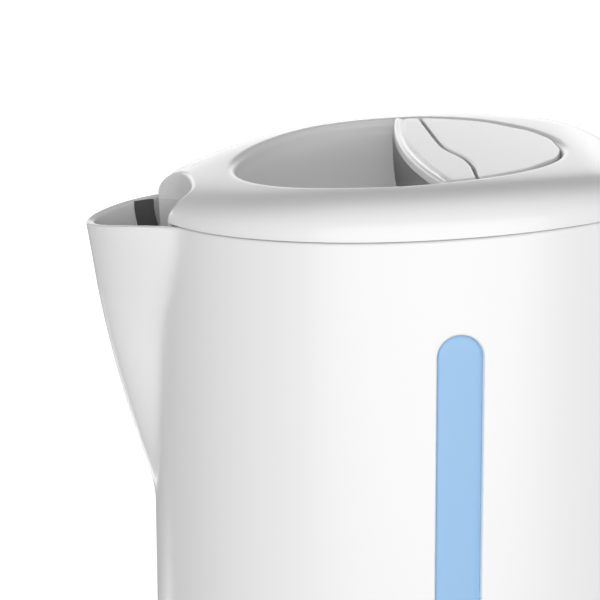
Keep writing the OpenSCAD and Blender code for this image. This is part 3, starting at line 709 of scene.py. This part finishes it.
def handle_path(n=14):
    """Middle line of the finger gap's edge: out from the jug, round two corners and back,
    with its outward direction at each point."""
    r, x = GAP_CORNER, GAP_FAR - GAP_CORNER
    low_z, high_z = GAP_LOW + GAP_CORNER, GAP_HIGH - GAP_CORNER
    c = np.linspace(0, math.pi / 2, n)
    low = np.stack([np.linspace(GAP_NEAR, x, 9)[:-1], np.full(8, GAP_LOW)], -1)
    low_n = np.repeat([[0.0, -1.0]], 8, 0)
    c1 = np.stack([x + r * np.sin(c), low_z - r * np.cos(c)], -1)
    n1 = np.stack([np.sin(c), -np.cos(c)], -1)
    up = np.stack([np.full(16, GAP_FAR), np.linspace(low_z, high_z, 18)[1:-1]], -1)
    up_n = np.repeat([[1.0, 0.0]], 16, 0)
    c2 = np.stack([x + r * np.cos(c), high_z + r * np.sin(c)], -1)
    n2 = np.stack([np.cos(c), np.sin(c)], -1)
    top = low[::-1] * [1, 0] + [0, GAP_HIGH]
    top_n = -low_n
    path = np.concatenate([low, c1, up, c2, top])
    return path, np.concatenate([low_n, n1, up_n, n2, top_n])


def handle_sheets(d0, d1, r0, r1, s):
    """Half of the loop handle: a rounded section from d0 to d1 outside the finger gap,
    with corner radii r0 and r1, carried round the loop. Its ends are pressed
    against the jug's wall."""
    path, normal = handle_path()
    half = GRIP_HALF
    c = np.linspace(0, math.pi / 2, 9)
    corners = [(d1 - r1, half - r1, r1, 0), (d0 + r0, half - r0, r0, 1),
               (d0 + r0, -half + r0, r0, 2), (d1 - r1, -half + r1, r1, 3)]
    ring = np.concatenate([np.stack([cd + r * np.cos(c + k * math.pi / 2),
                                     cy + r * np.sin(c + k * math.pi / 2)], -1)
                           for cd, cy, r, k in corners])
    pts = np.empty((len(path), len(ring), 3))
    pts[..., 0] = path[:, None, 0] + normal[:, None, 0] * ring[None, :, 0]
    pts[..., 1] = ring[None, :, 1]
    pts[..., 2] = path[:, None, 1] + normal[:, None, 1] * ring[None, :, 0]
    a = wall_half(pts[..., 2], s) + 0.3
    wall = a * np.sqrt(1 - (pts[..., 1] / (s.ratio * a)) ** 2)
    pts[..., 0] = np.maximum(pts[..., 0], wall)
    middle = pts.mean(1, keepdims=True)
    first = np.repeat(middle[:1], len(ring), 1)
    last = np.repeat(middle[-1:], len(ring), 1)
    for end in (first, last):
        e = wall_half(end[..., 2], s) + 0.3
        end[..., 0] = e * np.sqrt(1 - (end[..., 1] / (s.ratio * e)) ** 2)
    return [grid(np.concatenate([first, pts, last]), wrap_v=True)]


def oval_lathe(profile, s, hub=18.2, turns=160):
    """Turns a closed profile of (radius, height) that is round at the hub and becomes the
    jug's oval further out."""
    profile = np.asarray(profile, float)
    a = np.linspace(0, TAU, turns, endpoint=False)[:, None]
    r, z = profile[None, :, 0], profile[None, :, 1]
    flat = 1 - (1 - s.ratio) * ease((r - hub) / (46 - hub))
    return grid(np.stack([r * np.cos(a), r * flat * np.sin(a), z + 0 * a], -1),
                wrap_u=True, wrap_v=True)


def base_profile():
    """Section of the power base: rounded foot edge, upright side, soft shoulder, a shallow
    seat, a ring round the connector, and the hollow below."""
    c = np.linspace(0, math.pi / 2, 8)
    foot = np.stack([76 + np.sin(c), 4 - np.cos(c)], -1)
    shoulder = np.stack([73 + 4 * np.cos(c), 16 + 4 * np.sin(c)], -1)
    seat = [[70, 19.95], [69.4, 19.6], [68.8, 19.5], [27, 19.5], [26, 19.6], [25, 19.9],
            [24.2, 20], [19, 20], [18.5, 19.8], [18.2, 19.4], [18.2, 15]]
    under = [[19, 15], [20, 17.3], [72.5, 17.3], [74.4, 15.5], [74.4, 3.1]]
    return np.concatenate([foot, shoulder, seat, under])


def bridge_sheets(s):
    """Fixed cap behind the lid: a plate level with the dome's rear, notched for the lid's
    arms, with its rim tab and the two outer knuckles."""
    inset = np.array([0, 0.1, 0.3, 0.6, 1.0])
    span = s.half_width * math.sqrt(1 - (57 / s.half_length) ** 2)
    inside = np.linspace(-17, 17, 21)
    side = np.concatenate([[18.1, 18.2, 18.3, 18.45], np.linspace(19, span - 3, 9),
                           span - inset[::-1]])
    y = np.concatenate([-side[::-1], inside, side])
    start = np.where(np.abs(y) < NOTCH, 64.4, 57.2)
    stop = (s.half_length - 0.1) * np.sqrt(np.clip(1 - (y / s.half_width) ** 2, 0, 1)) - 0.1
    stop = np.maximum(stop, start + 0.2)
    t = np.concatenate([inset / 12, np.linspace(0.12, 0.88, 9), 1 - inset[::-1] / 12])
    x = start[:, None] + (stop - start)[:, None] * t[None]
    yy = np.repeat(y[:, None], len(t), 1)
    edge = np.minimum(x - start[:, None], stop[:, None] - x)
    edge = np.minimum(edge, span - np.abs(yy))
    top = np.maximum(dome_height(x, yy, s), 1.0) - quarter_round(edge, SHELL_EDGE)
    top = np.maximum(top, 0.7)
    loop = np.concatenate([np.stack([x, yy, top], -1),
                           np.stack([x, yy, 0 * x + 0.3], -1)[:, ::-1]], 1)
    middle = (loop + loop[:, ::-1]) / 2
    loop = np.concatenate([middle[:1], loop, middle[-1:]])
    points, quads = grid(loop, wrap_v=True)
    sheets = [(rim_to_world(points, s), quads)]
    for side in (-1, 1):
        low = 18.4 if side > 0 else -26.0
        sheets.append(barrel(PIN_X, PIN_Z, low, low + 7.6, KNUCKLE, 1.62, s))
    return sheets


def coil(centre, axis, radius, wire, pitch, turns, s, steps=28):
    """A wound spring: a round wire along a helix, in the lid's frame."""
    t = np.linspace(0, turns * TAU, int(turns * steps) + 1)
    axis = np.asarray(axis, float)
    one = np.array([1.0, 0.0, 0.0])
    two = np.cross(axis, one)
    out = np.cos(t)[:, None] * one + np.sin(t)[:, None] * two
    path = np.asarray(centre, float) + out * radius + axis * (t / TAU * pitch)[:, None]
    a = np.linspace(0, TAU, 11)[:-1]
    section = wire * np.stack([np.cos(a), np.sin(a)], -1)
    points, quads = grid(sweep(path, out, section), wrap_v=True)
    return rim_to_world(points, s), quads


# ---------- operators ----------

class KETTLE_OT_jug(bpy.types.Operator):
    """Jug shell with its spout, rim, window openings and switch slot"""

    bl_idname = "kettle.jug"
    bl_label = "Jug shell"

    def execute(self, context):
        place("jug_shell", jug_sheets(sizes()), "kettle", "gloss_white", ["body_shell"],
              crease=40)
        return {"FINISHED"}


class KETTLE_OT_windows(bpy.types.Operator):
    """Blue water windows on both long sides"""

    bl_idname = "kettle.windows"
    bl_label = "Water windows"

    def execute(self, context):
        s = sizes()
        for side, name in ((-1, "near"), (1, "far")):
            place(f"window_pane_{name}", window_sheets(side, s), "kettle", "blue_clear",
                  [f"water_window_{name}"])
        return {"FINISHED"}


class KETTLE_OT_lid(bpy.types.Operator):
    """Lid cover with finger bowl, pocket, scoop and hinge arms"""

    bl_idname = "kettle.lid"
    bl_label = "Lid cover"

    def execute(self, context):
        s = sizes()
        skin = place("lid_dome", lid_sheets(s), "lid", "gloss_white", ["lid_cover"], crease=35)
        thicken(skin, LID_WALL, 35)
        place("lid_hinge_arms", hinge_arm(-1, s) + hinge_arm(1, s), "lid", "gloss_white")
        # near-black wedges beside the spout: painted shade for the shadowed gap between the lid's
        # wall and the spout
        place("lid_side_lips", [spout_shade_wedge(-1, s), spout_shade_wedge(1, s)], "lid", "foot_rubber")
        return {"FINISHED"}


class KETTLE_OT_lever(bpy.types.Operator):
    """Pull lever and the fixed panel behind it"""

    bl_idname = "kettle.lever"
    bl_label = "Lever and panel"

    def execute(self, context):
        s = sizes()
        place("pull_lever", [slab(lever_front, lever_rear, LEVER_THICK, True, s)], "lever",
              "gloss_white", ["release_lever"])
        place("rear_panel", [slab(panel_front, panel_rear, PANEL_THICK, False, s)], "lid",
              "gloss_white", ["lid_panel"])
        return {"FINISHED"}


class KETTLE_OT_handle(bpy.types.Operator):
    """Two halves of the loop handle"""

    bl_idname = "kettle.handle"
    bl_label = "Handle"

    def execute(self, context):
        s = sizes()
        place("handle_grip_inner", handle_sheets(0, GRIP_SEAM - 0.15, 4.5, SHELL_EDGE, s),
              "kettle", "gloss_white", ["handle_inner"])
        place("handle_grip_outer", handle_sheets(GRIP_SEAM + 0.15, GRIP_DEPTH, SHELL_EDGE, 6.5, s),
              "kettle", "gloss_white", ["handle_outer"])
        return {"FINISHED"}


class KETTLE_OT_hinge(bpy.types.Operator):
    """Rear cap with the fixed hinge knuckles"""

    bl_idname = "kettle.hinge"
    bl_label = "Hinge cap"

    def execute(self, context):
        place("hinge_cap", bridge_sheets(sizes()), "kettle", "gloss_white", ["rear_bridge"])
        return {"FINISHED"}


class KETTLE_OT_springs(bpy.types.Operator):
    """Wound springs of the lever and the latch bolts"""

    bl_idname = "kettle.springs"
    bl_label = "Springs"

    def execute(self, context):
        s = sizes()
        place("lever_coil", [coil((4, -3.4, 6.9), (0, 1, 0), 2.0, 0.35, 1.0, 6.5, s)], "lid",
              "zinc", ["lever_spring"])
        place("bolt_coils", [coil((-2, 11.9 * k, -12.2), (0, k, 0), 1.6, 0.25, 0.58, 7.2, s)
                             for k in (-1, 1)], "lid", "zinc", ["bolt_springs"])
        return {"FINISHED"}


class KETTLE_OT_base(bpy.types.Operator):
    """Upper shell of the power base"""

    bl_idname = "kettle.base"
    bl_label = "Power base"

    def execute(self, context):
        place("base_shell", [oval_lathe(base_profile(), sizes())], "base", "gloss_white",
              ["base_upper_shell"])
        return {"FINISHED"}


class KETTLE_OT_finishes(bpy.types.Operator):
    """Finishes of the carried-over inner parts"""

    bl_idname = "kettle.finishes"
    bl_label = "Inner parts"

    def execute(self, context):
        made = finishes()
        for part in frame["record"]["subparts"]:
            node = frame["nodes"][part["node"]]
            slots = node.material_slots
            if not slots:
                raise RuntimeError(f"{part['node']} has no material slot")
            slots[0].material = made[part["material_slot"]]
        return {"FINISHED"}


# tone of the studio round the kettle by height: 0 straight down, 0.5 level, 1 straight up
HORIZON = ((0.0, 0.25), (0.3, 0.3), (0.46, 0.4), (0.56, 0.48), (0.64, 0.45), (0.74, 0.38),
           (1.0, 0.32))
BODY = (0, 0, 0.13)         # what the lights shine at
CAMERA_TURN, CAMERA_RISE = math.radians(6.06), math.radians(13)
CAMERA_LENS, CAMERA_AWAY = 235.3, 1.0566
CAMERA_LEFT, CAMERA_DOWN = 0.03453, 0.02938         # where it aims, from the rim's centre


def aim(obj, target):
    """Turns a light so that it shines at a target."""
    obj.rotation_mode = "QUATERNION"
    obj.rotation_quaternion = (Vector(target) - obj.location).to_track_quat("-Z", "Y")


def softbox(name, azimuth, elevation, distance, width, height, watts, target):
    """A rectangular studio light round the kettle: azimuth 0 is in front, and negative is
    towards the spout."""
    data = bpy.data.lights.new(name, "AREA")
    data.shape, data.size, data.size_y, data.energy = "RECTANGLE", width, height, watts
    light = bpy.data.objects.new(name, data)
    a, e = math.radians(azimuth), math.radians(elevation)
    way = Vector((math.sin(a) * math.cos(e), -math.cos(a) * math.cos(e), math.sin(e)))
    light.location = Vector(target) + way * distance
    bpy.context.scene.collection.objects.link(light)
    light.visible_camera = False
    aim(light, target)


def studio(scene):
    """World that is plain white to the camera, and a studio of changing tone to the rest."""
    scene.view_settings.view_transform = "Standard"
    world = scene.world or bpy.data.worlds.new("studio")
    scene.world = world
    world.use_nodes = True
    nodes, links = world.node_tree.nodes, world.node_tree.links
    sky = nodes["Background"]
    path = nodes.new("ShaderNodeLightPath")
    white = nodes.new("ShaderNodeBackground")
    mix = nodes.new("ShaderNodeMixShader")
    where = nodes.new("ShaderNodeTexCoord")
    split = nodes.new("ShaderNodeSeparateXYZ")
    height = nodes.new("ShaderNodeMapRange")
    height.inputs["From Min"].default_value = -1.0
    band = nodes.new("ShaderNodeValToRGB")
    stops = band.color_ramp.elements
    for at, tone in HORIZON:
        stop = stops[-int(at)] if at in (0.0, 1.0) else stops.new(at)
        stop.color = (tone, tone, tone, 1)
    links.new(where.outputs["Generated"], split.inputs["Vector"])
    links.new(split.outputs["Z"], height.inputs["Value"])
    links.new(height.outputs["Result"], band.inputs["Fac"])
    links.new(band.outputs["Color"], sky.inputs["Color"])
    sky.inputs["Strength"].default_value = 1.0
    white.inputs["Color"].default_value = (1, 1, 1, 1)
    white.inputs["Strength"].default_value = 1.0
    links.new(path.outputs["Is Camera Ray"], mix.inputs["Fac"])
    links.new(sky.outputs["Background"], mix.inputs[1])
    links.new(white.outputs["Background"], mix.inputs[2])
    links.new(mix.outputs["Shader"], nodes["World Output"].inputs["Surface"])


def table_top(scene):
    """Table: a wide pale disc that neither lights nor shades the kettle."""
    r = np.array([0, 500.0, 1500.0, 4000.0])
    a = np.linspace(0, TAU, 65)[:-1, None]
    disc = np.stack([r * np.cos(a), r * np.sin(a), 0 * r - 0.01 + 0 * a], -1)
    table = bpy.data.objects.new("table", make_mesh("table", [grid(disc, wrap_u=True)]))
    scene.collection.objects.link(table)
    if table.data.polygons[0].normal.z < 0:
        table.data.flip_normals()
    pale = finish("table_top", scene.kettle_colours.floor, 0.55, tint=0.004, grain=120.0,
                  bump=0.02)
    shader = pale.node_tree.nodes["Principled BSDF"]
    shader.inputs["Emission Color"].default_value = (1, 1, 1, 1)
    shader.inputs["Emission Strength"].default_value = 0.7
    table.data.materials.append(pale)
    table.visible_diffuse = table.visible_glossy = table.visible_shadow = False
    return table


def look_from_spout(scene):
    """Camera that looks at a point beside the rim, from above and a little to the spout
    side."""
    turn, up = CAMERA_TURN, CAMERA_RISE
    back = Vector((-math.sin(turn) * math.cos(up), -math.cos(turn) * math.cos(up), math.sin(up)))
    right = Vector((math.cos(turn), -math.sin(turn), 0))
    top = back.cross(right)
    rim = Vector((0, 0, scene.kettle_sizes.rim_height))
    target = rim - right * CAMERA_LEFT - top * CAMERA_DOWN
    data = bpy.data.cameras.new("camera")
    data.sensor_width, data.lens = 36.0, CAMERA_LENS
    data.clip_start, data.clip_end = 0.05, 50
    camera = bpy.data.objects.new("camera", data)
    turned = Matrix((right, top, back)).transposed().to_4x4()
    camera.matrix_world = Matrix.Translation(target + back * CAMERA_AWAY) @ turned
    scene.collection.objects.link(camera)
    scene.camera = camera


class KETTLE_OT_stage(bpy.types.Operator):
    """Pale table, studio lights and camera"""

    bl_idname = "kettle.stage"
    bl_label = "Stage"

    def execute(self, context):
        studio(context.scene)
        table = table_top(context.scene)
        softbox("front_box", -3, 0, 1.6, 2.8, 1.15, 23, BODY)
        softbox("rear_box", 180, 9, 1.6, 3.6, 0.45, 9, BODY)
        softbox("back_box", 176, -34, 1.6, 2.8, 0.6, 14, BODY)
        look_from_spout(context.scene)
        return {"FINISHED"}


PIECES = (KETTLE_OT_jug, KETTLE_OT_windows, KETTLE_OT_lid, KETTLE_OT_lever, KETTLE_OT_handle,
          KETTLE_OT_hinge, KETTLE_OT_springs, KETTLE_OT_base, KETTLE_OT_finishes, KETTLE_OT_stage)


class KETTLE_PT_panel(bpy.types.Panel):
    """Lists the kettle's pieces, sizes and colours"""

    bl_idname = "KETTLE_PT_panel"
    bl_label = "Jug kettle"
    bl_space_type = "VIEW_3D"
    bl_region_type = "UI"
    bl_category = "Kettle"

    def draw(self, context):
        for kind in PIECES:
            self.layout.operator(kind.bl_idname)
        for group in (context.scene.kettle_sizes, context.scene.kettle_colours):
            for key in type(group).__annotations__:
                self.layout.prop(group, key)


CLASSES = (KettleSizes, KettleColours, *PIECES, KETTLE_PT_panel)


def register():
    for kind in CLASSES:
        bpy.utils.register_class(kind)
    bpy.types.Scene.kettle_sizes = PointerProperty(type=KettleSizes)
    bpy.types.Scene.kettle_colours = PointerProperty(type=KettleColours)


def unregister():
    del bpy.types.Scene.kettle_colours, bpy.types.Scene.kettle_sizes
    for kind in reversed(CLASSES):
        bpy.utils.unregister_class(kind)


def main():
    register()
    for kind in PIECES:
        group, name = kind.bl_idname.split(".")
        getattr(getattr(bpy.ops, group), name)()


if __name__ == "__main__":
    main()
